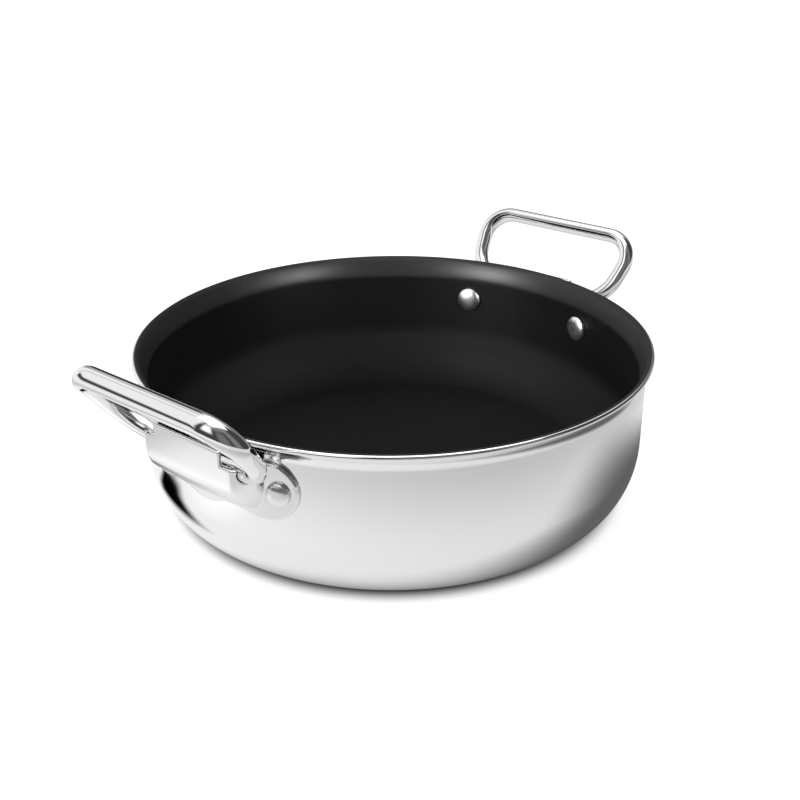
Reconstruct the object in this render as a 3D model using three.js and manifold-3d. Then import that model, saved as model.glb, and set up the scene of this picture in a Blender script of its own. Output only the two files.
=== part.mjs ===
import * as THREE from 'three';
import { mergeVertices } from 'three/addons/utils/BufferGeometryUtils.js';
import Module from 'manifold-3d';

// A low, round braising pan with two ring handles. Millimetres, +Z up.
// The origin is the centre of the flat base, and the handles lie along X.

// Pan sheet
const wallDiameter = 273;
const panHeight = 85;
const wallThickness = 3;
const cornerRun = 24;
const cornerRise = 34;
const lipFlare = 3.5;
const lipRise = 10;
const coatingThickness = 0.4;

// Ring handle: a bent tube, round where it is held and pressed oval in the grip
const tubeDiameter = 9;
const tubeWall = 1.2;
const gripThickness = 8.2;
const gripWidth = 11.5;
const ringLength = 104;
const ringDepth = 46;
const gripBendRadius = 16;
const seatBendRadius = 24;
const armLean = 10;
const ringTilt = 53;
const ringDrop = 14;
const jointGap = 1;

// Handle bracket: a plate on the wall, pressed out into a pocket that holds the ring against the wall
const bracketSheet = 2.3;
const plateWidth = 103;
const earRadius = 15;
const notchSpacing = 32;
const notchLift = 3;
const pocketWidth = 73;
const pocketFlank = 9.5;
const panelWidth = 45;
const panelDrop = 4;
const sleeveDrop = 11;
const pocketFoot = 20;
const footMargin = 0.5;
const panelEdge = 0.8;

// Rivets
const rivetSpacing = 84;
const rivetDrop = 25;
const shankDiameter = 5.5;
const outerHeadDiameter = 12;
const outerHeadHeight = 3.6;
const innerHeadDiameter = 13.5;
const innerHeadHeight = 2.8;
const headRim = 0.7;

// Clearances
const fitGap = 0.3;
const mouthGap = 0.35;
const coatingGap = 0.1;

// Fineness of the facets
const panSegments = 64;
const plateSegments = 144;
const tubeSides = 10;
const bendSteps = 5;
const rivetSides = 16;

const wallRadius = wallDiameter / 2;
const plateInside = wallRadius + fitGap;
const plateOutside = plateInside + bracketSheet;
const ringSeat = plateInside + tubeDiameter / 2;
const ringHeight = panHeight - ringDrop;
const panelFront = ringSeat + tubeDiameter / 2 + mouthGap + bracketSheet;
const rivetHeight = panHeight - rivetDrop;
const plateBottom = rivetHeight - earRadius;
const rivetAngle = Math.asin(rivetSpacing / 2 / wallRadius);

const polished = new THREE.MeshStandardMaterial({ color: 0xd9dadb, roughness: 0.12, metalness: 1 });
const nonstick = new THREE.MeshStandardMaterial({ color: 0x17171a, roughness: 0.45, metalness: 0 });
const stainless = new THREE.MeshStandardMaterial({ color: 0xc9cacb, roughness: 0.16, metalness: 1 });
const rivetSteel = new THREE.MeshStandardMaterial({ color: 0xbfc0c2, roughness: 0.22, metalness: 1 });

const wasm = await Module();
wasm.setup();

// A closed geometry as a solid that can be joined and cut.
function toSolid(geometry) {
  const bare = geometry.clone();
  bare.deleteAttribute('normal');
  bare.deleteAttribute('uv');
  const merged = mergeVertices(bare, 1e-4);
  const corners = merged.index.array;
  const kept = [];
  for (let i = 0; i < corners.length; i += 3) {
    const [a, b, c] = corners.slice(i, i + 3);
    if (a !== b && b !== c && c !== a) kept.push(a, b, c);
  }
  const mesh = new wasm.Mesh({
    numProp: 3,
    vertProperties: new Float32Array(merged.attributes.position.array),
    triVerts: new Uint32Array(kept),
  });
  return new wasm.Manifold(mesh);
}

function toGeometry(solid) {
  const mesh = solid.getMesh();
  const geometry = new THREE.BufferGeometry();
  geometry.setAttribute('position', new THREE.BufferAttribute(new Float32Array(mesh.vertProperties), 3));
  geometry.setIndex(new THREE.BufferAttribute(new Uint32Array(mesh.triVerts), 1));
  geometry.computeVertexNormals();
  return geometry;
}

function piece(name, solid, material) {
  const mesh = new THREE.Mesh(toGeometry(solid), material);
  mesh.name = name;
  return mesh;
}

// A revolved profile standing on its +Z axis.
function revolve(profile, segments) {
  return new THREE.LatheGeometry(profile, segments).rotateX(Math.PI / 2);
}

function smooth(from, to, value) {
  return THREE.MathUtils.smoothstep(value, from, to);
}

// A strip of quads between each ring of points and the next, closed by a fan over each end.
function loft(rings) {
  const sides = rings[0].length;
  const points = rings.flat();
  const middle = (ring) => ring.reduce((sum, p) => sum.add(p), new THREE.Vector3()).divideScalar(sides);
  points.push(middle(rings[0]), middle(rings.at(-1)));
  const [first, last] = [points.length - 2, points.length - 1];
  const faces = [];
  for (let k = 0; k < sides; k += 1) {
    const next = (k + 1) % sides;
    for (let j = 0; j < rings.length - 1; j += 1) {
      const [here, ahead] = [j * sides, (j + 1) * sides];
      faces.push(here + k, here + next, ahead + next, here + k, ahead + next, ahead + k);
    }
    const end = (rings.length - 1) * sides;
    faces.push(first, next, k, last, end + k, end + next);
  }
  const geometry = new THREE.BufferGeometry().setFromPoints(points);
  geometry.setIndex(faces);
  return geometry;
}

// The middle line of the pan's sheet, from the axis over the base and up the wall to the lip.
// Each point has the sheet's inward normal, so that the two faces are offsets of this line.
function sheetLine() {
  const half = wallThickness / 2;
  const radius = wallRadius - half;
  const [run, rise] = [cornerRun - half, cornerRise - half];
  const foot = radius - run;
  const lipFoot = panHeight - lipRise;
  const cornerSteps = 5;
  const lipSteps = 3;
  const line = [];
  const add = (x, y, alongX, alongY) => {
    const normal = new THREE.Vector2(-alongY, alongX).normalize();
    line.push({ at: new THREE.Vector2(x, y), normal });
  };
  add(0, half, 1, 0);
  for (let i = 0; i <= cornerSteps; i += 1) {
    const turn = (i / cornerSteps - 1) * Math.PI / 2;
    const [cos, sin] = [Math.cos(turn), Math.sin(turn)];
    add(foot + run * cos, cornerRise + rise * sin, -run * sin, rise * cos);
  }
  for (let i = 0; i <= lipSteps; i += 1) {
    const s = i / lipSteps;
    const climb = lipRise - half;
    add(radius + lipFlare * s * s, lipFoot + climb * s, 2 * lipFlare * s, climb);
  }
  return line;
}

const panLine = sheetLine();
const offsetLine = (distance) => panLine.map(({ at, normal }) => at.clone().addScaledVector(normal, distance));

// A radial bore through the wall for each rivet.
function rivetBore() {
  const length = 2 * (panelFront - wallRadius);
  const radius = shankDiameter / 2 + fitGap;
  const bore = new THREE.CylinderGeometry(radius, radius, length, rivetSides);
  return bore.rotateZ(Math.PI / 2).translate(wallRadius, 0, rivetHeight);
}

const handleTurns = { right: 0, left: Math.PI };
const rivetTurns = { front: -rivetAngle, back: rivetAngle };

function drillForRivets(solid) {
  const turns = Object.values(handleTurns).flatMap((h) => Object.values(rivetTurns).map((r) => h + r));
  return turns.reduce((left, turn) => left.subtract(toSolid(rivetBore().rotateZ(turn))), solid);
}

// The pan is one sheet of even thickness with a rolled-over, rounded lip edge.
function panBody() {
  const half = wallThickness / 2;
  const { at: end, normal } = panLine.at(-1);
  const edge = [0.25, 0.5, 0.75].map((s) => {
    const turn = normal.angle() + (1 + s) * Math.PI;
    return new THREE.Vector2(end.x + half * Math.cos(turn), end.y + half * Math.sin(turn));
  });
  const profile = [...offsetLine(-half), ...edge, ...offsetLine(half).reverse()];
  return drillForRivets(toSolid(revolve(profile, panSegments)));
}

// The coating lies on the whole inside of the sheet and stops at the bare lip edge.
function panCoating() {
  const under = wallThickness / 2 + coatingGap;
  const profile = [...offsetLine(under), ...offsetLine(under + coatingThickness).reverse()];
  return drillForRivets(toSolid(revolve(profile, panSegments)));
}

// The ring's course in its own tilted plane: x across the pan's radius, y up the tilt.
// It starts and ends at the joint in the middle of the lower side, and its arms lean in towards that side.
function ringCourse(gap) {
  const lean = THREE.MathUtils.degToRad(armLean);
  const [quarter, half] = [Math.PI / 2, Math.PI];
  const top = new THREE.Vector2(ringLength / 2 - gripBendRadius, ringDepth - gripBendRadius);
  const wider = seatBendRadius - gripBendRadius;
  const low = top.x - (wider + Math.sin(lean) * (top.y - seatBendRadius)) / Math.cos(lean);
  const course = new THREE.Path();
  course.moveTo(gap / 2, 0);
  course.absarc(low, seatBendRadius, seatBendRadius, -quarter, -lean, false);
  course.absarc(top.x, top.y, gripBendRadius, -lean, quarter, false);
  course.absarc(-top.x, top.y, gripBendRadius, quarter, half + lean, false);
  course.absarc(-low, seatBendRadius, seatBendRadius, half + lean, half + quarter, false);
  course.lineTo(-gap / 2, 0);
  return course.getPoints(bendSteps);
}

// A tube along the ring's course, grown by a margin all round, whose section goes from round to the oval grip.
function ringTube(margin, gap) {
  const course = ringCourse(gap);
  const tilt = THREE.MathUtils.degToRad(ringTilt);
  const up = new THREE.Vector3(Math.cos(tilt), 0, Math.sin(tilt));
  const across = new THREE.Vector3(0, 1, 0);
  const face = new THREE.Vector3().crossVectors(up, across);
  const seat = new THREE.Vector3(ringSeat, 0, ringHeight);
  const place = (p) => seat.clone().addScaledVector(across, p.x).addScaledVector(up, p.y);
  const rings = course.map((p, i) => {
    const before = course[Math.max(i - 1, 0)];
    const after = course[Math.min(i + 1, course.length - 1)];
    const along = after.clone().sub(before).normalize();
    const outward = new THREE.Vector3().addScaledVector(across, along.y).addScaledVector(up, -along.x);
    const grip = smooth(seatBendRadius, ringDepth, p.y);
    const thick = THREE.MathUtils.lerp(tubeDiameter, gripThickness, grip) / 2 + margin;
    const wide = THREE.MathUtils.lerp(tubeDiameter, gripWidth, grip) / 2 + margin;
    return Array.from({ length: tubeSides }, (_, k) => {
      const turn = (k + 0.5) * 2 * Math.PI / tubeSides;
      return place(p).addScaledVector(outward, thick * Math.cos(turn)).addScaledVector(face, wide * Math.sin(turn));
    });
  });
  return toSolid(loft(rings));
}

function handleRing() {
  return ringTube(0, jointGap).subtract(ringTube(-tubeWall, jointGap / 2));
}

// The plate's outline seen from straight ahead: two round ears, and below the pocket a lobe between two notches.
function plateOutline() {
  const earMiddle = plateWidth / 2 - earRadius;
  const notchMiddle = notchSpacing / 2;
  const outline = new THREE.Shape();
  const easeTo = (x, y) => {
    const from = outline.currentPoint.clone();
    const middle = (from.x + x) / 2;
    outline.bezierCurveTo(middle, from.y, middle, y, x, y);
  };
  outline.moveTo(-earMiddle, rivetHeight + earRadius);
  outline.lineTo(earMiddle, rivetHeight + earRadius);
  outline.absarc(earMiddle, rivetHeight, earRadius, Math.PI / 2, -Math.PI / 2, true);
  easeTo(notchMiddle, plateBottom + notchLift);
  easeTo(0, plateBottom);
  easeTo(-notchMiddle, plateBottom + notchLift);
  easeTo(-earMiddle, plateBottom);
  outline.absarc(-earMiddle, rivetHeight, earRadius, -Math.PI / 2, -Math.PI * 1.5, true);
  return outline;
}

// An upright drum on the pan's axis, against which the bracket is fitted to the wall.
function drum(radius) {
  const upright = new THREE.CylinderGeometry(radius, radius, 2 * panHeight, plateSegments);
  return toSolid(upright.rotateX(Math.PI / 2));
}

// The plate follows the wall: its outline cut out of a thin upright ring.
function bracketPlate() {
  const outline = new THREE.ExtrudeGeometry(plateOutline(), {
    depth: wallRadius,
    bevelEnabled: false,
    curveSegments: 8,
  });
  const turned = new THREE.Matrix4().makeBasis(
    new THREE.Vector3(0, 1, 0),
    new THREE.Vector3(0, 0, 1),
    new THREE.Vector3(1, 0, 0),
  );
  const cutter = outline.applyMatrix4(turned).translate(wallRadius / 2, 0, 0);
  return drum(plateOutside).subtract(drum(plateInside)).intersect(toSolid(cutter));
}

// Positions across the pocket, with the step at the panel's free edge and closer together over the flank.
function pocketColumns(flank, end) {
  const turning = [0, 0.15, 0.3, 0.45, 0.6, 0.75, 0.9, 1].map((s) => THREE.MathUtils.lerp(flank, end, s));
  const half = [panelWidth / 4, panelWidth / 2, panelWidth / 2 + panelEdge, ...turning];
  return [...half.map((y) => -y).reverse(), 0, ...half];
}

// The pocket's outside, or with an inset its hollow: an upright panel that leans back to the plate below,
// with ends that turn in more steeply.
function pocketSolid(inset, topAt) {
  const rows = 6;
  const end = pocketWidth / 2 - inset;
  const flank = end - pocketFlank;
  const pocketBottom = plateBottom + notchLift + footMargin;
  const foot = pocketBottom + inset;
  const shoulder = pocketBottom + pocketFoot;
  const sunk = plateInside - inset;
  const frontAt = (y, z) => {
    const across = Math.max(0, (Math.abs(y) - flank) / pocketFlank);
    const down = Math.max(0, (shoulder - z) / (shoulder - foot));
    const raised = 1 - across ** 3 - down ** 2;
    return THREE.MathUtils.lerp(Math.sqrt(sunk ** 2 - y ** 2), panelFront - inset, raised);
  };
  const behind = wallRadius / 2;
  const rings = pocketColumns(flank, end).map((y) => {
    const heights = Array.from({ length: rows + 1 }, (_, j) => THREE.MathUtils.lerp(foot, shoulder, j / rows));
    heights.push(topAt(y));
    const front = heights.map((z) => new THREE.Vector3(frontAt(y, z), y, z));
    return [...front.map((p) => new THREE.Vector3(behind, p.y, p.z)), ...front.reverse()];
  });
  return toSolid(loft(rings));
}

// Plate and pocket are one sheet. The pocket is open at the top, where the ring's tube comes out over its ends.
function handleBracket() {
  const rimOf = (y) => panHeight - (Math.abs(y) <= panelWidth / 2 ? panelDrop : sleeveDrop);
  const outside = pocketSolid(0, rimOf);
  const hollow = pocketSolid(bracketSheet, () => panHeight);
  const sheet = bracketPlate().add(outside).subtract(hollow).subtract(drum(plateInside));
  const bracket = sheet.subtract(ringTube(mouthGap, jointGap));
  return Object.values(rivetTurns).reduce((left, t) => left.subtract(toSolid(rivetBore().rotateZ(t))), bracket);
}

// A rivet along +Z: a domed head inside the pan, the shank, and a taller domed head on the ear.
function rivet() {
  const inside = wallRadius - wallThickness - coatingGap - coatingThickness;
  const dip = inside - Math.sqrt(inside ** 2 - (innerHeadDiameter / 2) ** 2);
  const innerSeat = inside - dip - fitGap;
  const outerSeat = plateOutside + fitGap;
  const steps = 3;
  const dome = (diameter, height) => Array.from({ length: steps + 1 }, (_, i) => {
    const turn = i / steps * Math.PI / 2;
    return new THREE.Vector2(diameter / 2 * Math.cos(turn), (height - headRim) * Math.sin(turn) + headRim);
  });
  const above = (p) => new THREE.Vector2(p.x, outerSeat + p.y);
  const below = (p) => new THREE.Vector2(p.x, innerSeat - p.y);
  const shank = shankDiameter / 2;
  const profile = [
    ...dome(innerHeadDiameter, innerHeadHeight).reverse().map(below),
    new THREE.Vector2(innerHeadDiameter / 2, innerSeat),
    new THREE.Vector2(shank, innerSeat),
    new THREE.Vector2(shank, outerSeat),
    new THREE.Vector2(outerHeadDiameter / 2, outerSeat),
    ...dome(outerHeadDiameter, outerHeadHeight).map(above),
  ];
  profile[0].x = 0;
  profile.at(-1).x = 0;
  return toSolid(revolve(profile, rivetSides).rotateY(Math.PI / 2).translate(0, 0, rivetHeight));
}

// Each handle is built on +X and turned to its side of the pan.
function handle(side) {
  const group = new THREE.Group();
  group.rotation.z = handleTurns[side];
  group.add(piece(`${side}_handle_bracket`, handleBracket(), stainless));
  group.add(piece(`${side}_handle_ring`, handleRing(), stainless));
  for (const [end, turn] of Object.entries(rivetTurns)) {
    const mesh = piece(`${side}_rivet_${end}`, rivet(), rivetSteel);
    mesh.rotation.z = turn;
    group.add(mesh);
  }
  return group;
}

const braiser = new THREE.Group();
braiser.add(piece('pan_body', panBody(), polished));
braiser.add(piece('nonstick_coating', panCoating(), nonstick));
for (const side of Object.keys(handleTurns)) braiser.add(handle(side));

export default braiser;
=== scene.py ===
import math

import bpy
import numpy as np
from mathutils import Matrix


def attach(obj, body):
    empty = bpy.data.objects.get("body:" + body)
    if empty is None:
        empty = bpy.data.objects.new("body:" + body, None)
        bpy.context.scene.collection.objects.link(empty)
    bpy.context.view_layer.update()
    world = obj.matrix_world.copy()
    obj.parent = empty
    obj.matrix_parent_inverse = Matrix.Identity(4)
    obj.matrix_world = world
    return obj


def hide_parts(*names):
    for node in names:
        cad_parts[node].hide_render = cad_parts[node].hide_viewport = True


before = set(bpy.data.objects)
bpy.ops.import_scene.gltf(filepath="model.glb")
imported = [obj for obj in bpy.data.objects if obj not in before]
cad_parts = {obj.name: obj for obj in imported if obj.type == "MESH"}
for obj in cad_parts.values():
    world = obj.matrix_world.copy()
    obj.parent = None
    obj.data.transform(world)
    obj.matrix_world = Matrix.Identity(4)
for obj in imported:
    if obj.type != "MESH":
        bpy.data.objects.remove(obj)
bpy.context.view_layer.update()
scene = bpy.context.scene
scene.view_settings.view_transform = "Standard"
mm = 0.001
print("frame loaded:", len(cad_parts), "nodes")


# ease(t): 3t^2 - 2t^3 between 0 and 1, flat outside
def ease(t):
    t = np.clip(t, 0, 1)
    return t * t * (3 - 2 * t)


# larger of a and b, with a soft inner corner of about the given width
def softMax(a, b, width):
    near = np.maximum(width - np.abs(a - b), 0) / width
    return np.maximum(a, b) + near * near * width / 4


# where both a and b are below zero, with the outer corner turned to a quarter circle
def roundBoth(a, b, radius):
    over = np.hypot(np.maximum(a + radius, 0), np.maximum(b + radius, 0))
    return np.minimum(np.maximum(a, b), -radius) + over


# center + radius * (cos, sin) of evenly spaced turns, in radians
def arc(center, radius, start, end, count):
    turn = np.linspace(start, end, count)
    return np.array(center) + radius * np.stack([np.cos(turn), np.sin(turn)], 1)


# quads over rings[i, k], closed round k, with a fan to one pole at each end
def skin(rings, poles):
    rows, sides = rings.shape[:2]
    i, k = np.meshgrid(np.arange(rows - 1), np.arange(sides), indexing="ij")
    here, ahead = i * sides, (i + 1) * sides
    turn = (k + 1) % sides
    quads = np.stack([here + k, here + turn, ahead + turn, ahead + k], -1).reshape(-1, 4)
    about = np.arange(sides)
    after = (about + 1) % sides
    end = (rows - 1) * sides
    first = np.full(sides, rows * sides)
    fans = np.vstack([
        np.stack([after, about, first], -1),
        np.stack([end + about, end + after, first + 1], -1),
    ])
    return np.vstack([rings.reshape(-1, 3), poles]), quads.tolist() + fans.tolist()


# a profile of (radius, height) from axis to axis, turned about Z
def turned(profile, segments):
    angle = np.arange(segments) * 2 * np.pi / segments
    radius, height = profile[1:-1, 0, None], profile[1:-1, 1, None]
    around = np.broadcast_arrays(radius * np.cos(angle), radius * np.sin(angle), height)
    poles = [[0, 0, profile[0, 1]], [0, 0, profile[-1, 1]]]
    return skin(np.stack(around, -1), poles)


# six times the volume of a closed mesh, the sum of a . (b x c) over its triangles, which is
# positive when the faces point outwards
def enclosed(points, faces):
    halves = [[f[0], f[2], f[3]] for f in faces if len(f) == 4]
    a, b, c = points[np.array([f[:3] for f in faces] + halves)].transpose(1, 0, 2)
    return np.einsum("ij,ij->", a, np.cross(b, c))


# a shape in millimetres, turned about Z and put in the place of one node
def addPiece(name, shape, material, node, turn=0.0):
    points, faces = shape
    if enclosed(points, faces) < 0:
        faces = [f[::-1] for f in faces]
    cos, sin = math.cos(turn), math.sin(turn)
    placed = points @ np.array([[cos, sin, 0], [-sin, cos, 0], [0, 0, 1]]) * mm
    mesh = bpy.data.meshes.new(name)
    mesh.from_pydata(placed.tolist(), [], faces)
    mesh.polygons.foreach_set("use_smooth", np.ones(len(faces), bool))
    mesh.materials.append(material)
    mesh.update()
    piece = bpy.data.objects.new(name, mesh)
    scene.collection.objects.link(piece)
    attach(piece, "root")
    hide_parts(node)
    return piece


# Nodes: a value is a number, a vector or colour, or the socket that it comes from

def feed(tree, socket, value):
    if isinstance(value, bpy.types.NodeSocket):
        tree.links.new(value, socket)
    else:
        socket.default_value = value


# a node's own properties and its inputs, whose names have underscores for spaces
def setNode(tree, node, **values):
    for key, value in values.items():
        if hasattr(node, key):
            setattr(node, key, value)
        else:
            feed(tree, node.inputs[key.replace("_", " ")], value)
    return node


def addNode(tree, kind, **values):
    return setNode(tree, tree.nodes.new("ShaderNode" + kind), **values)


def calc(tree, operation, *operands, kind="Math", gives="Value"):
    node = addNode(tree, kind, operation=operation)
    for socket, value in zip(node.inputs, operands):
        feed(tree, socket, value)
    return node.outputs[gives]


def vectorCalc(tree, operation, *operands):
    gives = "Value" if operation in ("DOT_PRODUCT", "LENGTH", "DISTANCE") else "Vector"
    return calc(tree, operation, *operands, kind="VectorMath", gives=gives)


# how far a vector reaches in a direction
def along(tree, vector, direction):
    return vectorCalc(tree, "DOT_PRODUCT", vector, direction)


# goes from start to end while the value goes from low to high, and stays there
def rise(tree, value, low, high, start=0.0, end=1.0, kind="SMOOTHSTEP"):
    node = addNode(tree, "MapRange", interpolation_type=kind, Value=value,
                   From_Min=low, From_Max=high, To_Min=start, To_Max=end)
    return node.outputs["Result"]


def blend(tree, factor, first, second):
    node = addNode(tree, "Mix", data_type="RGBA", Factor=factor)
    for socket, color in zip(node.inputs[6:8], (first, second)):
        feed(tree, socket, color)
    return node.outputs[2]


def noise(tree, place, scale, detail, rough):
    node = addNode(tree, "TexNoise", Vector=place, Scale=scale, Detail=detail, Roughness=rough)
    return node.outputs["Fac"]


def bumped(tree, height, strength, depth):
    node = addNode(tree, "Bump", Height=height, Strength=strength, Distance=depth)
    return node.outputs["Normal"]


# a group of nodes with named inputs, numbers or vectors, and named number outputs
def newGroup(name, inputs, outputs):
    tree = bpy.data.node_groups.new(name, "ShaderNodeTree")
    for label, value in inputs.items():
        kind = "NodeSocketVector" if isinstance(value, tuple) else "NodeSocketFloat"
        tree.interface.new_socket(label, in_out="INPUT", socket_type=kind).default_value = value
    for label in outputs:
        tree.interface.new_socket(label, in_out="OUTPUT", socket_type="NodeSocketFloat")
    given, made = tree.nodes.new("NodeGroupInput"), tree.nodes.new("NodeGroupOutput")
    return tree, given.outputs, made.inputs


def placeGroup(tree, group, values):
    node = tree.nodes.new("ShaderNodeGroup")
    node.node_tree = group
    for label, value in values.items():
        node.inputs[label].default_value = value
    return node.outputs


def newMaterial(name):
    material = bpy.data.materials.new(name)
    material.use_nodes = True
    tree = material.node_tree
    return material, tree, tree.nodes["Principled BSDF"]


# Polished steel: soft cloudy handling marks in the gloss, and fine lines laid along X and Y

polish = {
    "cloudDetail": 3.0, "cloudRough": 0.55, "cloudFrom": 0.35, "cloudTo": 0.75,
    "lineStretch": 0.02, "lineDetail": 2.0, "lineRough": 0.6, "lineDepth": 0.0002,
}


def polishGroup(s):
    tree, given, made = newGroup(
        "polishMarks", {"Cloud Scale": 20.0, "Gloss": 0.06, "Haze": 0.05, "Line Scale": 900.0},
        ["Roughness", "Height"],
    )
    place = addNode(tree, "TexCoord").outputs["Object"]
    cloud = noise(tree, place, given["Cloud Scale"], s["cloudDetail"], s["cloudRough"])
    marks = rise(tree, cloud, s["cloudFrom"], s["cloudTo"], kind="LINEAR")
    feed(tree, made["Roughness"], calc(tree, "MULTIPLY_ADD", marks, given["Haze"], given["Gloss"]))
    stretch = (s["lineStretch"], s["lineStretch"], 1.0)
    drawn = addNode(tree, "Mapping", Vector=place, Scale=stretch).outputs["Vector"]
    lines = noise(tree, drawn, given["Line Scale"], s["lineDetail"], s["lineRough"])
    feed(tree, made["Height"], lines)
    return tree


polishMarks = polishGroup(polish)


# a steel with a dull value is duller towards the lower of two heights
def polishedSteel(name, s):
    material, tree, shader = newMaterial(name)
    marks = placeGroup(tree, polishMarks, {
        "Cloud Scale": s["cloudScale"], "Gloss": s["gloss"], "Haze": s["haze"],
        "Line Scale": s["lineScale"],
    })
    roughness = marks["Roughness"]
    if "dull" in s:
        height = along(tree, addNode(tree, "TexCoord").outputs["Object"], (0, 0, 1))
        foot = rise(tree, height, s["dullFrom"], s["dullTo"], s["dull"], 0.0, "LINEAR")
        roughness = calc(tree, "ADD", roughness, foot)
    setNode(tree, shader, Base_Color=(*s["color"], 1), Metallic=1.0, Roughness=roughness,
            Normal=bumped(tree, marks["Height"], s["lineBump"], polish["lineDepth"]))
    return material


wallSteel = polishedSteel("wallSteel", {
    "color": (0.86, 0.86, 0.87), "cloudScale": 14.0, "gloss": 0.05, "haze": 0.06,
    "lineScale": 900.0, "lineBump": 0.01,
})
bracketSteel = polishedSteel("bracketSteel", {
    "color": (0.84, 0.84, 0.845), "cloudScale": 45.0, "gloss": 0.06, "haze": 0.06,
    "lineScale": 1500.0, "lineBump": 0.015, "dull": 0.3, "dullFrom": 0.056, "dullTo": 0.066,
})
ringSteel = polishedSteel("ringSteel", {
    "color": (0.83, 0.83, 0.84), "cloudScale": 35.0, "gloss": 0.05, "haze": 0.06,
    "lineScale": 1200.0, "lineBump": 0.012,
})
rivetSteel = polishedSteel("rivetSteel", {
    "color": (0.82, 0.82, 0.83), "cloudScale": 120.0, "gloss": 0.24, "haze": 0.12,
    "lineScale": 2500.0, "lineBump": 0.02,
})


# satin black coating: fine pale flecks, a gloss that wanders a little, and by height a dull floor,
# a lip painted paler as a painted sheen and a dull rim
def coatingMaterial(s):
    material, tree, shader = newMaterial("nonstickBlack")
    place = addNode(tree, "TexCoord").outputs["Object"]
    height = along(tree, place, (0, 0, 1))
    fleck = noise(tree, place, s["fleckScale"], s["fleckDetail"], s["fleckRough"])
    picked = rise(tree, fleck, s["fleckFrom"], s["fleckTo"], kind="LINEAR")
    tint = blend(tree, picked, (*s["color"], 1), (*s["fleckColor"], 1))
    # painted sheen: the coating's colour is paler on the lip above this height
    lip = rise(tree, height, s["lipSheenFrom"], s["lipSheenTo"], kind="LINEAR")
    cloud = noise(tree, place, s["cloudScale"], s["cloudDetail"], s["cloudRough"])
    gloss = rise(tree, cloud, s["cloudFrom"], s["cloudTo"], s["gloss"], s["dull"], "LINEAR")
    lower = rise(tree, height, s["wallFrom"], s["wallTo"], s["floorDull"], 0.0)
    rim = rise(tree, height, s["rimFrom"], s["rimTo"], 0.0, s["rimDull"])
    setNode(tree, shader, Specular_IOR_Level=s["specular"],
            Base_Color=blend(tree, lip, tint, (*s["lipSheenColor"], 1)),
            Roughness=calc(tree, "ADD", gloss, calc(tree, "ADD", lower, rim)),
            Normal=bumped(tree, fleck, s["grain"], s["grainDepth"]))
    return material


nonstickBlack = coatingMaterial({
    "color": (0.003, 0.003, 0.0032), "specular": 0.22, "grain": 0.05, "grainDepth": 0.0001,
    "fleckColor": (0.012, 0.012, 0.0125), "fleckScale": 1800.0, "fleckDetail": 2.0,
    "fleckRough": 0.7, "fleckFrom": 0.62, "fleckTo": 0.75,
    "gloss": 0.36, "dull": 0.42, "cloudScale": 18.0, "cloudDetail": 3.0, "cloudRough": 0.5,
    "cloudFrom": 0.3, "cloudTo": 0.7,
    "floorDull": 0.35, "wallFrom": 0.026, "wallTo": 0.042,
    # painted sheen on the lip: a paler colour above a height
    "lipSheenColor": (0.013, 0.013, 0.0135), "lipSheenFrom": 0.0715, "lipSheenTo": 0.0735,
    "rimDull": 0.4, "rimFrom": 0.0822, "rimTo": 0.0842,
})
print("materials made")


# Pan and coating: offsets of one middle line, a flat base, an elliptical corner, a wall and a
# flared lip; the coating goes on over the lip's rounded edge

pan = {
    "wallRadius": 136.5, "height": 85.0, "sheet": 3.0, "cornerRun": 24.0, "cornerRise": 34.0,
    "lipFlare": 3.5, "outerRise": 10.0, "outerCrease": 0.0, "innerRise": 12.5, "innerCrease": 0.45,
    "creaseBend": 0.15, "coating": 0.4, "coatingGap": 0.1, "coatedTo": 100.0, "segments": 240,
    "basePoints": 9, "cornerPoints": 41, "wallPoints": 10, "lipPoints": 25, "edgePoints": 16,
    "coatedPoints": 12, "tipPoints": 7,
}


# middle line of the sheet as (radius, height), and the inward normal at each point; the lip goes
# out by t^2, and by a straight part that starts at a crease
def sheetLine(s, lipRise, crease):
    half = s["sheet"] / 2
    radius = s["wallRadius"] - half
    run, lift = s["cornerRun"] - half, s["cornerRise"] - half
    climb = lipRise - half - s["coatingGap"] - s["coating"]
    base = np.linspace(0, 1, s["basePoints"])[:-1]
    turn = np.linspace(-np.pi / 2, 0, s["cornerPoints"])
    wall = np.linspace(0, 1, s["wallPoints"])[1:-1]
    lip = np.linspace(0, 1, s["lipPoints"])
    bend = s["creaseBend"]
    curve = 1 - crease * (1 - bend / 2)
    straight = np.where(lip < bend, lip ** 2 / (2 * bend), lip - bend / 2)
    flare = curve * lip ** 2 + crease * straight
    lean = 2 * curve * lip + crease * np.minimum(lip / bend, 1)
    lipFoot = s["height"] - lipRise
    line = np.vstack([
        np.stack([base * (radius - run), base * 0 + half], 1),
        np.stack([radius - run + run * np.cos(turn), s["cornerRise"] + lift * np.sin(turn)], 1),
        np.stack([wall * 0 + radius, s["cornerRise"] + wall * (lipFoot - s["cornerRise"])], 1),
        np.stack([radius + s["lipFlare"] * flare, lipFoot + climb * lip], 1),
    ])
    heading = np.vstack([
        np.stack([base * 0 + 1, base * 0], 1),
        np.stack([-run * np.sin(turn), lift * np.cos(turn)], 1),
        np.stack([wall * 0, wall * 0 + 1], 1),
        np.stack([s["lipFlare"] * lean, lip * 0 + climb], 1),
    ])
    normal = np.stack([-heading[:, 1], heading[:, 0]], 1)
    return line, normal / np.linalg.norm(normal, axis=1, keepdims=True)


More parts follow.
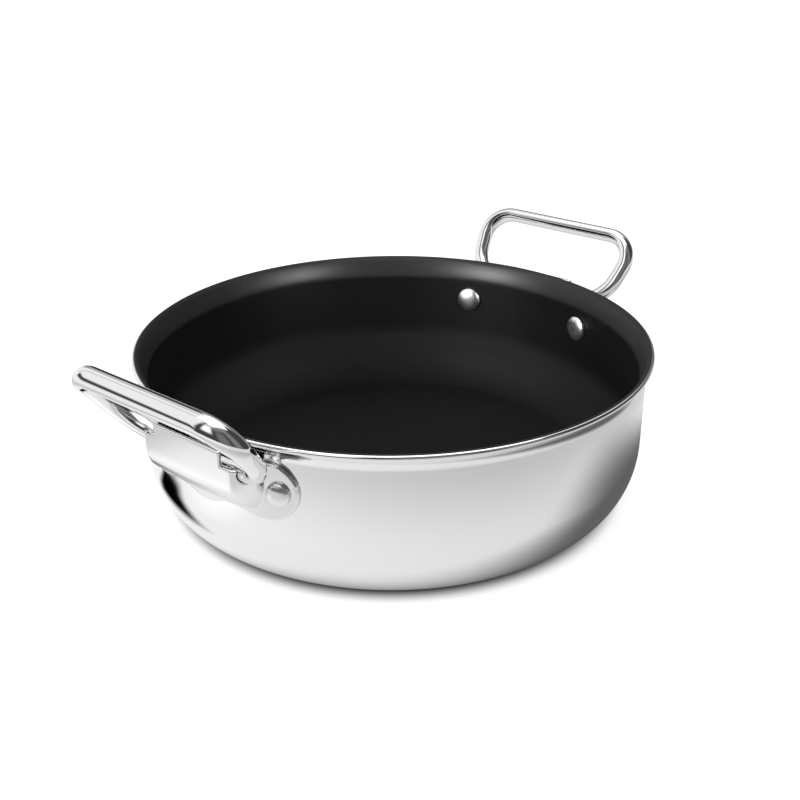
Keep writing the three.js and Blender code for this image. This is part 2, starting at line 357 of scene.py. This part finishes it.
# the body is the middle line offset by half the sheet to each side, round at the edge; the coating
# is the inner line offset twice, carried over the edge and closed by a round tip
def panShapes(s):
    outer, outerNormal = sheetLine(s, s["outerRise"], s["outerCrease"])
    inner, innerNormal = sheetLine(s, s["innerRise"], s["innerCrease"])
    half = s["sheet"] / 2
    tip = inner[-1]
    outside = math.atan2(-outerNormal[-1, 1], -outerNormal[-1, 0])
    inside = math.atan2(innerNormal[-1, 1], innerNormal[-1, 0])
    edge = arc(tip, half, outside, inside, s["edgePoints"])[1:-1]
    body = np.vstack([outer - half * outerNormal, edge, (inner + half * innerNormal)[::-1]])
    stop = math.radians(s["coatedTo"])

    def coatedLine(far):
        over = arc(tip, far, inside, stop, s["coatedPoints"])[1:]
        return np.vstack([inner + far * innerNormal, over])

    low = coatedLine(half + s["coatingGap"])
    high = coatedLine(half + s["coatingGap"] + s["coating"])
    middle = (low[-1] + high[-1]) / 2
    lip = arc(middle, s["coating"] / 2, stop - np.pi, stop, s["tipPoints"])[1:-1]
    layer = np.vstack([low, lip, high[::-1]])
    body[[0, -1], 0] = layer[[0, -1], 0] = 0
    return turned(body, s["segments"]), turned(layer, s["segments"])


bodyShape, layerShape = panShapes(pan)
addPiece("panBody", bodyShape, wallSteel, "pan_body")
coating = addPiece("nonstickLayer", layerShape, nonstickBlack, "nonstick_coating")
print("pan turned")


# Ring handle: a planar course of straights and arcs, tilted outwards, and a section from round to
# oval along it

ring = {
    "tube": 9.0, "gripThick": 8.2, "gripWide": 11.5, "length": 104.0, "depth": 46.0,
    "gripBend": 16.0, "seatBend": 24.0, "lean": 10.0, "tilt": 53.0, "seatRadius": 141.3,
    "seatHeight": 71.0, "joint": 1.0, "flatWithin": 0.001, "bendPoints": 90, "steps": 300,
    "sides": 40,
}


# seat arcs and grip arcs joined by their common tangents, spaced evenly along the length
def ringCourse(s):
    lean = math.radians(s["lean"])
    top = (s["length"] / 2 - s["gripBend"], s["depth"] - s["gripBend"])
    inward = s["seatBend"] - s["gripBend"] + math.sin(lean) * (top[1] - s["seatBend"])
    low = (top[0] - inward / math.cos(lean), s["seatBend"])
    half = np.vstack([
        [[s["joint"] / 2, 0]],
        arc(low, s["seatBend"], -np.pi / 2, -lean, s["bendPoints"]),
        arc(top, s["gripBend"], -lean, np.pi / 2, s["bendPoints"]),
    ])
    course = np.vstack([half, half[::-1] * [-1, 1]])
    far = np.append(0, np.cumsum(np.linalg.norm(np.diff(course, axis=0), axis=1)))
    even = np.linspace(0, far[-1], s["steps"])
    return np.stack([np.interp(even, far, course[:, 0]), np.interp(even, far, course[:, 1])], 1)


# the course's middle + thick * cos * outward + wide * sin * across its plane
def ringShape(s):
    course = ringCourse(s)
    heading = np.gradient(course, axis=0)
    heading /= np.linalg.norm(heading, axis=1, keepdims=True)
    tilt = math.radians(s["tilt"])
    up = np.array([math.cos(tilt), 0, math.sin(tilt)])
    across = np.array([0.0, 1.0, 0.0])
    face = np.cross(up, across)
    seat = np.array([s["seatRadius"], 0, s["seatHeight"]])
    center = seat + course[:, :1] * across + course[:, 1:] * up
    outward = heading[:, 1:] * across - heading[:, :1] * up
    grip = ease((course[:, 1] - s["seatBend"]) / (s["depth"] - s["seatBend"]))
    thick = (s["tube"] + (s["gripThick"] - s["tube"]) * grip) / 2
    wide = (s["tube"] + (s["gripWide"] - s["tube"]) * grip) / 2
    turn = np.arange(s["sides"]) * 2 * np.pi / s["sides"]
    rings = (center[:, None]
             + (thick[:, None] * np.cos(turn))[..., None] * outward[:, None]
             + (wide[:, None] * np.sin(turn))[..., None] * face)
    return skin(rings, center[[0, -1]])


# Handle bracket: the zero level of a field, which is a pressed sheet inside an outline, less the
# ring's tube and the bores

bracket = {
    "sheet": 2.3, "wallGap": 0.3, "plateWidth": 103.0, "earRadius": 15.0, "notchSpacing": 32.0,
    "notchLift": 3.0, "wavePoints": 60, "pocketWidth": 73.0, "flank": 9.5, "pocketFoot": 20.0,
    "footMargin": 0.5, "pocketJoin": 1.5, "panelWidth": 45.0, "panelTop": 81.0, "panelCorner": 1.0,
    "sleeveTop": 74.0, "sleeveFall": 4.0, "mouthGap": 0.35, "rivetHeight": 60.0, "rivetAside": 42.0,
    "bore": 3.05, "edgeRound": 0.7, "mouthRound": 0.45, "probe": 0.05,
}
rivetAngle = math.asin(bracket["rivetAside"] / pan["wallRadius"])


# distance ahead of the pan's axis of one face of the sheet: the plate's drum, softly joined to the
# pocket, an upright panel that sinks by across^3 past its ends and by down^3 over its foot
def sheetFace(s, y, z, inset):
    inside = pan["wallRadius"] + s["wallGap"]
    panelFront = ring["seatRadius"] + ring["tube"] / 2 + s["mouthGap"] + s["sheet"] - inset
    plate = np.sqrt((inside + s["sheet"] - inset) ** 2 - y ** 2)
    bottom = s["rivetHeight"] - s["earRadius"] + s["notchLift"] + s["footMargin"]
    flankFrom = s["pocketWidth"] / 2 - inset - s["flank"]
    across = np.maximum(np.abs(y) - flankFrom, 0) / s["flank"]
    down = np.maximum(bottom + s["pocketFoot"] - z, 0) / (s["pocketFoot"] - inset)
    raised = 1 - across ** 3 - down ** 3
    sunk = np.sqrt((inside - inset) ** 2 - y ** 2)
    return softMax(plate, sunk + (panelFront - sunk) * raised, s["pocketJoin"])


# height of the lower edge, waves between the ears, the notches and the lobe: the height goes by
# 3t^2 - 2t^3 and the place across by 1.5t - 1.5t^2 + t^3, so that the crests are level
def lowerEdge(s, y):
    ear = s["plateWidth"] / 2 - s["earRadius"]
    notch = s["notchSpacing"] / 2
    t = np.linspace(0, 1, s["wavePoints"])
    go = 1.5 * t - 1.5 * t ** 2 + t ** 3
    bottom = s["rivetHeight"] - s["earRadius"]
    wave = s["notchLift"] * (3 * t ** 2 - 2 * t ** 3)
    at = np.append(notch * go, (notch + (ear - notch) * go)[1:])
    return np.interp(np.abs(y), at, bottom + np.append(wave, wave[-2::-1]))


# seen from straight ahead: two discs for the ears, and between them what is above the lower edge
# and below the sleeves or the panel
def sheetOutline(s, y, z):
    ear = s["plateWidth"] / 2 - s["earRadius"]
    far = np.abs(y)
    top = s["rivetHeight"] + s["earRadius"]
    disc = np.hypot(far - ear, z - s["rivetHeight"]) - s["earRadius"]
    step = s["probe"]
    slope = (lowerEdge(s, y + step) - lowerEdge(s, y - step)) / (2 * step)
    below = (lowerEdge(s, y) - z) / np.hypot(1, slope)
    sleeveEdge = top + (s["sleeveTop"] - top) * ease((ear - far) / s["sleeveFall"])
    sleeve = np.maximum(far - ear, z - sleeveEdge)
    panel = roundBoth(far - s["panelWidth"] / 2, z - s["panelTop"], s["panelCorner"])
    return np.minimum(disc, np.maximum(np.minimum(sleeve, panel), np.maximum(below, far - ear)))


# distance from the ring's middle line near its seat: a straight and two arcs in the tilted plane
def seatDistance(s, p):
    tilt = math.radians(s["tilt"])
    rel = p - np.array([s["seatRadius"], 0, s["seatHeight"]])
    up = rel[:, 0] * math.cos(tilt) + rel[:, 2] * math.sin(tilt)
    off = rel[:, 0] * math.sin(tilt) - rel[:, 2] * math.cos(tilt)
    course = ringCourse(s)
    straightEnd = course[course[:, 1] < s["flatWithin"], 0].max()
    side = np.abs(rel[:, 1]) - straightEnd
    bend = np.abs(np.hypot(side, up - s["seatBend"]) - s["seatBend"])
    return np.hypot(np.where(side > 0, bend, np.abs(up)), off)


# below zero inside the bracket; each face's distance is divided by its slope
def bracketField(p):
    s = bracket
    x, y, z = p.T
    step = s["probe"]

    def faceDistance(inset):
        at = sheetFace(s, y, z, inset)
        dy = (sheetFace(s, y + step, z, inset) - at) / step
        dz = (sheetFace(s, y, z + step, inset) - at) / step
        return (x - at) / np.sqrt(1 + dy ** 2 + dz ** 2)

    sheet = np.maximum(faceDistance(0.0), -faceDistance(s["sheet"]))
    solid = roundBoth(sheet, sheetOutline(s, y, z), s["edgeRound"])
    mouth = ring["tube"] / 2 + s["mouthGap"] - seatDistance(ring, p)
    solid = roundBoth(solid, mouth, s["mouthRound"])
    cos, sin = math.cos(rivetAngle), math.sin(rivetAngle)
    bore = np.hypot(x * sin - np.abs(y) * cos, z - s["rivetHeight"])
    return np.maximum(solid, s["bore"] - bore)


net = {
    "low": (122.0, -53.0, 43.0), "high": (151.0, 53.5, 83.5), "cell": 0.5,
    "rounds": 4, "probe": 0.02, "leastSlope": 0.2, "mostMove": 1 / 3,
}


# one corner in each cell that the field's zero level crosses, moved onto that level in rounds of
# value * slope / slope^2, and a face round each crossed edge
def netted(field, s):
    cell = s["cell"]
    axes = [np.arange(a, b, cell) for a, b in zip(s["low"], s["high"])]
    grid = np.stack(np.meshgrid(*axes, indexing="ij"), -1)
    value = field(grid.reshape(-1, 3)).reshape(grid.shape[:3])
    inside = value < 0
    shape = np.array(value.shape) - 1
    steps = np.eye(3, dtype=int)
    total = np.zeros((*shape, 3))
    count = np.zeros(shape)
    cut = lambda corner: tuple(slice(c, c + n) for c, n in zip(corner, shape))
    for axis in range(3):
        for pair in np.ndindex(2, 2):
            start = np.insert(np.array(pair), axis, 0)
            stop = start + steps[axis]
            a, b = value[cut(start)], value[cut(stop)]
            crossed = (a < 0) != (b < 0)
            share = np.where(crossed, a / np.where(crossed, a - b, 1), 0)
            total += crossed[..., None] * (start + share[..., None] * (stop - start))
            count += crossed
    used = count > 0
    number = np.full(shape, -1)
    number[used] = np.arange(used.sum())
    points = np.array(s["low"]) + cell * (np.argwhere(used) + total[used] / count[used][:, None])
    faces = []
    for axis in range(3):
        one, two = (axis + 1) % 3, (axis + 2) % 3
        first = np.take(inside, np.arange(shape[axis]), axis)
        second = np.take(inside, np.arange(1, shape[axis] + 1), axis)
        at = np.argwhere(first != second)
        for other in (one, two):
            at = at[(at[:, other] > 0) & (at[:, other] < shape[other])]
        corners = (steps[one] + steps[two], steps[two], 0 * steps[one], steps[one])
        quad = np.stack([number[tuple((at - corner).T)] for corner in corners], 1)
        outward = first[tuple(at.T)]
        faces.append(np.where(outward[:, None], quad, quad[:, ::-1]))
    reach, limit = s["probe"], cell * s["mostMove"]
    for _ in range(s["rounds"]):
        here = field(points)
        around = [field(points + d) - field(points - d) for d in np.eye(3) * reach]
        slope = np.stack(around, 1) / (2 * reach)
        steep = np.maximum((slope ** 2).sum(1), s["leastSlope"])
        points -= np.clip(here[:, None] * slope / steep[:, None], -limit, limit)
    return points, np.vstack(faces).tolist()


bracketShape = netted(bracketField, net)
print("bracket pressed:", len(bracketShape[1]), "faces")


# Rivet: a domed head inside the pan, the shank, and a taller dome on the ear

rivet = {
    "shank": 5.5, "outerHead": 12.0, "outerHeight": 3.6, "innerHead": 15.0, "innerHeight": 3.2,
    "headRim": 0.7, "seatGap": 0.3, "domePoints": 14, "segments": 64,
}


# a profile of two quarter ellipses on upright rims, turned and then laid along X
def rivetShape(s):
    inside = pan["wallRadius"] - pan["sheet"] - pan["coatingGap"] - pan["coating"]
    innerSeat = math.sqrt(inside ** 2 - (s["innerHead"] / 2) ** 2) - s["seatGap"]
    outerSeat = pan["wallRadius"] + bracket["wallGap"] + bracket["sheet"] + s["seatGap"]
    turn = np.linspace(0, np.pi / 2, s["domePoints"])

    def crown(head, high):
        rim = s["headRim"]
        return np.stack([head / 2 * np.cos(turn), (high - rim) * np.sin(turn) + rim], 1)

    below = crown(s["innerHead"], s["innerHeight"])[::-1] * [1, -1] + [0, innerSeat]
    above = crown(s["outerHead"], s["outerHeight"]) + [0, outerSeat]
    shank = s["shank"] / 2
    waist = [[s["innerHead"] / 2, innerSeat], [shank, innerSeat],
             [shank, outerSeat], [s["outerHead"] / 2, outerSeat]]
    points, faces = turned(np.vstack([below, waist, above]), s["segments"])
    laid = points @ np.array([[0, 0, -1], [0, 1, 0], [1, 0, 0]])
    return laid + [0, 0, bracket["rivetHeight"]], faces


ringTube = ringShape(ring)
rivetBody = rivetShape(rivet)
rivets = []
for side, turn in (("right", 0.0), ("left", math.pi)):
    addPiece(side + "Bracket", bracketShape, bracketSteel, side + "_handle_bracket",
             turn)
    addPiece(side + "Ring", ringTube, ringSteel, side + "_handle_ring", turn)
    for end, sign in (("front", -1), ("back", 1)):
        rivets.append(addPiece(side + "Rivet" + end.capitalize(), rivetBody, rivetSteel,
                               f"{side}_rivet_{end}", turn + sign * rivetAngle))
print("handles fitted")


# Floor, light and camera. Bearings are degrees in the picture: 0 is right, 90 away from the camera

viewTurn = -50.0


def toward(bearing):
    angle = math.radians(bearing + viewTurn)
    return math.cos(angle), math.sin(angle), 0.0


def pointAt(bearing, away):
    return np.array(toward(bearing)) * away


def poseMatrix(right, up, back, place):
    pose = np.eye(4)
    pose[:3] = np.stack([right, up, back, place], 1)
    return Matrix(pose.tolist())


def addStage(name, points, faces, material):
    mesh = bpy.data.meshes.new(name)
    mesh.from_pydata(points, [], faces)
    mesh.materials.append(material)
    item = bpy.data.objects.new(name, mesh)
    scene.collection.objects.link(item)
    return item


floor = {
    "radius": 8.0, "sides": 64, "color": (0.8, 0.8, 0.8), "rough": 0.9, "glow": 0.8,
    # seen: a painted tight shadow at the foot, in the glow and in the base colour
    "seenFrom": 0.1175, "seenTo": 0.131, "seenDark": 0.2,  # shadow that the camera sees
    # foot, side, far and open: painted shade at the foot and painted falloff in what steel mirrors
    "footFrom": 0.1, "footTo": 0.135, "sideFrom": -0.15, "sideTo": 0.15, "sideLevel": 0.8,
    "farFrom": 0.18, "farTo": 0.29, "farLevel": 0.7, "openFrom": 0.32, "openTo": 0.5,
    # shade, leaf and spot: a painted soft shadow, a painted dark patch and a painted bright spot in
    # what steel mirrors
    "shadeBearing": 350.0, "shadeWidth": 0.122, "shadeLength": 0.212, "shadeBack": 0.1,
    "shadeFrom": 0.6, "shadeTo": 1.4, "shadeDepth": 0.16,
    "leafBearing": 195.6, "leafAway": 0.1637, "leafTurn": 134.2, "leafTip": 0.064, "leafEnd": 0.034,
    "leafWidth": 0.0205, "leafFrom": 0.55, "leafTo": 1.25,
    "spotBearing": 213.0, "spotAway": 0.24, "spotFrom": 0.03, "spotTo": 0.08, "spotLevel": 0.25,
}


# the floor's painted glow: Seen is white up to a painted tight shadow at the foot; Mirrored, which
# polished steel shows, is a painted reflection that also fades with distance and to the right, and
# has a painted long soft shadow on that side, a painted dark leaf-shaped patch beside the left
# handle and a painted bright spot farther out
def floorGroup(s):
    tree, _, made = newGroup("floorGlow", {}, ["Seen", "Mirrored"])
    place = addNode(tree, "TexCoord").outputs["Object"]
    radius = vectorCalc(tree, "LENGTH", place)
    # painted contact shadow at the foot, for what the camera sees
    feed(tree, made["Seen"], rise(tree, radius, s["seenFrom"], s["seenTo"]))

    # painted falloff to the right and with distance, and painted shade at the pan's foot
    rightward = along(tree, place, toward(0))
    side = rise(tree, rightward, s["sideFrom"], s["sideTo"], 1.0, s["sideLevel"], "LINEAR")
    near = rise(tree, radius, s["farFrom"], s["farTo"], 1.0, s["farLevel"])
    fade = calc(tree, "MAXIMUM", near, rise(tree, radius, s["openFrom"], s["openTo"]))
    foot = rise(tree, radius, s["footFrom"], s["footTo"])

    def square(value, length):
        return calc(tree, "POWER", calc(tree, "DIVIDE", value, length), 2.0)

    # painted long soft shadow: an ellipse, longer ahead than back
    ahead = along(tree, place, toward(s["shadeBearing"]))
    across = along(tree, place, toward(s["shadeBearing"] + 90))
    front = square(calc(tree, "MAXIMUM", ahead, 0.0), s["shadeLength"])
    back = square(calc(tree, "MINIMUM", ahead, 0.0), s["shadeBack"])
    reach = calc(tree, "ADD", calc(tree, "ADD", front, back), square(across, s["shadeWidth"]))
    shade = rise(tree, reach, s["shadeFrom"], s["shadeTo"], s["shadeDepth"], 1.0)
    level = calc(tree, "MULTIPLY", calc(tree, "MULTIPLY", side, fade),
                 calc(tree, "MULTIPLY", foot, shade))

    # painted dark patch: straight sides to a tip behind, and a rounder end ahead
    leaf = vectorCalc(tree, "SUBTRACT", place, pointAt(s["leafBearing"], s["leafAway"]))
    ahead = along(tree, leaf, toward(s["leafTurn"]))
    across = calc(tree, "ABSOLUTE", along(tree, leaf, toward(s["leafTurn"] + 90)))
    tip = calc(tree, "DIVIDE", calc(tree, "MINIMUM", ahead, 0.0), -s["leafTip"])
    end = square(calc(tree, "MAXIMUM", ahead, 0.0), s["leafEnd"])
    reach = calc(tree, "ADD", calc(tree, "ADD", tip, end),
                 calc(tree, "DIVIDE", across, s["leafWidth"]))
    level = calc(tree, "MULTIPLY", level, rise(tree, reach, s["leafFrom"], s["leafTo"]))

    # painted bright spot
    away = vectorCalc(tree, "DISTANCE", place, pointAt(s["spotBearing"], s["spotAway"]))
    spot = rise(tree, away, s["spotFrom"], s["spotTo"], s["spotLevel"], 0.0)
    feed(tree, made["Mirrored"], calc(tree, "ADD", level, spot))
    return tree


# lit and shaded like any pale floor, its base colour darkened by a painted shadow at the foot, with
# the glow on top for what the camera sees; steel sees only the mirrored glow, a painted reflection
def floorMaterial(s):
    material, tree, shader = newMaterial("paleFloor")
    path = addNode(tree, "LightPath").outputs
    glow = placeGroup(tree, floorGroup(s), {})
    # painted shadow at the foot, darkening the base colour
    shadow = rise(tree, glow["Seen"], 0.0, 1.0, s["seenDark"], 1.0, "LINEAR")
    direct = calc(tree, "SUBTRACT", 1.0, path["Is Glossy Ray"])
    lit = calc(tree, "MULTIPLY", direct, shadow)
    seen = calc(tree, "MULTIPLY", glow["Seen"], s["glow"])
    mirrored = calc(tree, "MULTIPLY", glow["Mirrored"], path["Is Glossy Ray"])
    setNode(tree, shader, Base_Color=blend(tree, lit, (0, 0, 0, 1), (*s["color"], 1)),
            Roughness=s["rough"], Specular_IOR_Level=0.0, Emission_Strength=1.0,
            Emission_Color=calc(tree, "MULTIPLY_ADD", seen, path["Is Camera Ray"], mirrored))
    return material


rimTurn = np.linspace(0, 2 * np.pi, floor["sides"] + 1)[:-1]
floorEdge = floor["radius"] * np.stack([np.cos(rimTurn), np.sin(rimTurn), rimTurn * 0], 1)
addStage("floor", floorEdge.tolist(), [list(range(floor["sides"]))], floorMaterial(floor))


# each card has its bearing, half spread, lowest and highest elevation and softness of the ends in
# degrees, and its brightness
room = {
    "ambient": 0.25, "wall": 0.06, "darkest": 0.02,
    "ceiling": 0.3, "ceilingFrom": 0.75, "ceilingTo": 0.95,
    "cards": (
        (120, 76, -12, 70, 8, 0.95),  # bright back wall
        (235, 16, 32, 64, 8, 1.3),  # soft box in front
        (103, 2.0, -12, 70, 1.6, -0.75),  # seams in the wall
        (118, 1.8, 10, 70, 1.4, -0.6),
        (140, 1.6, 10, 70, 1.3, -0.45),
        (80, 34, -25, 33, 9, -0.85),  # dark foot of the wall behind the far handle
        (285, 14, 0, 50, 9, 0.12),  # faint panels on the right
        (330, 12, -5, 60, 9, 0.16),
    ),
}


# a soft-edged card in the sky: a spread of bearings about Facing between two heights
def cardGroup():
    tree, given, made = newGroup("skyCard", {
        "Facing": (1.0, 0.0, 0.0), "Edge": 0.8, "Core": 0.9, "Low": 0.0, "High": 0.5,
        "Blur": 0.3, "Strength": 1.0,
    }, ["Level"])
    place = addNode(tree, "TexCoord").outputs["Generated"]
    flat = vectorCalc(tree, "NORMALIZE", vectorCalc(tree, "MULTIPLY", place, (1, 1, 0)))
    spread = rise(tree, along(tree, flat, given["Facing"]), given["Edge"], given["Core"])
    height = along(tree, place, (0, 0, 1))
    over = calc(tree, "DIVIDE", calc(tree, "SUBTRACT", height, given["Low"]), given["Blur"])
    under = calc(tree, "DIVIDE", calc(tree, "SUBTRACT", given["High"], height), given["Blur"])
    band = calc(tree, "MULTIPLY", rise(tree, over, -1.0, 1.0), rise(tree, under, -1.0, 1.0))
    lit = calc(tree, "MULTIPLY", calc(tree, "MULTIPLY", band, spread), given["Strength"])
    feed(tree, made["Level"], lit)
    return tree


# camera rays meet white, steel a dark room with cards and a ceiling, and all else an even light
def worldLight(s):
    world = bpy.data.worlds.new("studio")
    scene.world = world
    world.use_nodes = True
    tree = world.node_tree
    tree.nodes.clear()
    height = along(tree, addNode(tree, "TexCoord").outputs["Generated"], (0, 0, 1))
    level = rise(tree, height, s["ceilingFrom"], s["ceilingTo"], s["wall"], s["ceiling"])
    group = cardGroup()
    for bearing, spread, low, high, soft, strength in s["cards"]:
        card = placeGroup(tree, group, {
            "Facing": toward(bearing), "Strength": strength, "Blur": math.radians(soft),
            "Edge": math.cos(math.radians(spread + soft)),
            "Core": math.cos(math.radians(spread - soft)),
            "Low": math.sin(math.radians(low)), "High": math.sin(math.radians(high)),
        })
        level = calc(tree, "ADD", level, card["Level"])
    level = calc(tree, "MAXIMUM", level, s["darkest"])

    def background(color, strength):
        return addNode(tree, "Background", Color=color, Strength=strength).outputs["Background"]

    def choose(test, otherwise, then):
        node = addNode(tree, "MixShader")
        for socket, value in zip(node.inputs, (test, otherwise, then)):
            feed(tree, socket, value)
        return node.outputs["Shader"]

    path = addNode(tree, "LightPath").outputs
    white = (1, 1, 1, 1)
    light = choose(path["Is Glossy Ray"], background(white, s["ambient"]), background(level, 1.0))
    light = choose(path["Is Camera Ray"], light, background(white, 1.0))
    addNode(tree, "OutputWorld", Surface=light)


worldLight(room)


lamps = {
    "overPlace": (0.2, 0.1, 1.5), "overAim": (0, 0, 0.05), "overSize": 1.4, "overPower": 8.0,
    "lowAway": 1.2, "lowTilt": 21.0, "lowAim": (0, 0, 0.08), "lowSize": 0.3,
    "lowLamps": (("Left", 219, 29.0), ("Right", 320, 16.5)),  # bearing and power
    "upright": (0.3, 1.0, 0.1),  # any direction that no lamp faces
}


def addLamp(name, place, aim, size, power):
    lamp = bpy.data.lights.new(name, "AREA")
    lamp.shape = "SQUARE"
    lamp.size = size
    lamp.energy = power
    item = bpy.data.objects.new(name, lamp)
    scene.collection.objects.link(item)
    back = (np.array(place) - aim) / np.linalg.norm(np.array(place) - aim)
    side = np.cross(lamps["upright"], back)
    side /= np.linalg.norm(side)
    item.matrix_world = poseMatrix(side, np.cross(back, side), back, place)
    return item


addLamp("overhead", lamps["overPlace"], lamps["overAim"], lamps["overSize"], lamps["overPower"])

# two low lamps in front, which only the coating and the far rivets take, for the sheen on the back
# wall and lip
satin = bpy.data.collections.new("satin")
for piece in (coating, *rivets[:2]):
    satin.objects.link(piece)
lowHeight = math.tan(math.radians(lamps["lowTilt"]))
for side, bearing, power in lamps["lowLamps"]:
    place = lamps["lowAway"] * (np.array(toward(bearing)) + [0, 0, lowHeight])
    lamp = addLamp("low" + side, place, lamps["lowAim"], lamps["lowSize"], power)
    lamp.light_linking.receiver_collection = satin


# a card that only steel shows, standing to the left across the view
streak = {
    "aside": 0.45, "near": 0.3, "far": 0.1, "middle": 0.195, "core": 0.018, "reach": 0.072,
    "dark": 0.06, "bright": 0.95,
}


# dark along the card's middle height, and as bright as the back wall at its upper and lower edges
def streakMaterial(s):
    material, tree, shader = newMaterial("streakCard")
    height = along(tree, addNode(tree, "TexCoord").outputs["Object"], (0, 0, 1))
    off = calc(tree, "ABSOLUTE", calc(tree, "SUBTRACT", height, s["middle"]))
    setNode(tree, shader, Base_Color=(0, 0, 0, 1), Specular_IOR_Level=0.0, Emission_Strength=1.0,
            Emission_Color=rise(tree, off, s["core"], s["reach"], s["dark"], s["bright"]))
    return material


nearEnd = pointAt(180, streak["aside"]) - pointAt(90, streak["near"])
farEnd = pointAt(180, streak["aside"]) + pointAt(90, streak["far"])
low, high = [(0, 0, streak["middle"] + sign * streak["reach"]) for sign in (-1, 1)]
tallFlag = addStage("tallFlag", [nearEnd + low, farEnd + low, farEnd + high, nearEnd + high],
                    [[0, 1, 2, 3]], streakMaterial(streak))
tallFlag.visible_camera = tallFlag.visible_diffuse = tallFlag.visible_shadow = False


# the focal length is in the picture's own pixels
camera = {
    "distance": 0.644868, "elevation": 29.0446, "yaw": 0.3201, "pitch": 3.6549, "roll": -0.3951,
    "focal": 1112.17, "picture": 800, "sensor": 36, "clip": 0.01,
}


# looks at the origin from in front, then is yawed, pitched and rolled about its own axes, then
# carried round the pan
def addCamera(s):
    tilt, yaw, pitch, roll = np.radians([s[k] for k in ("elevation", "yaw", "pitch", "roll")])
    place = s["distance"] * np.array([0, -np.cos(tilt), np.sin(tilt)])
    spun = lambda a, b, t: (a * np.cos(t) + b * np.sin(t), b * np.cos(t) - a * np.sin(t))
    ahead = -place / s["distance"]
    right = np.array([1.0, 0, 0])
    up = np.cross(right, ahead)
    ahead, right = spun(ahead, right, yaw)
    ahead, up = spun(ahead, up, pitch)
    right, up = spun(right, up, roll)
    data = bpy.data.cameras.new("camera")
    data.sensor_width = s["sensor"]
    data.lens = s["focal"] / s["picture"] * s["sensor"]
    data.clip_start = s["clip"]
    item = bpy.data.objects.new("camera", data)
    scene.collection.objects.link(item)
    carried = Matrix.Rotation(math.radians(viewTurn), 4, "Z")
    item.matrix_world = carried @ poseMatrix(right, up, -ahead, place)
    scene.camera = item


addCamera(camera)
print("studio set")
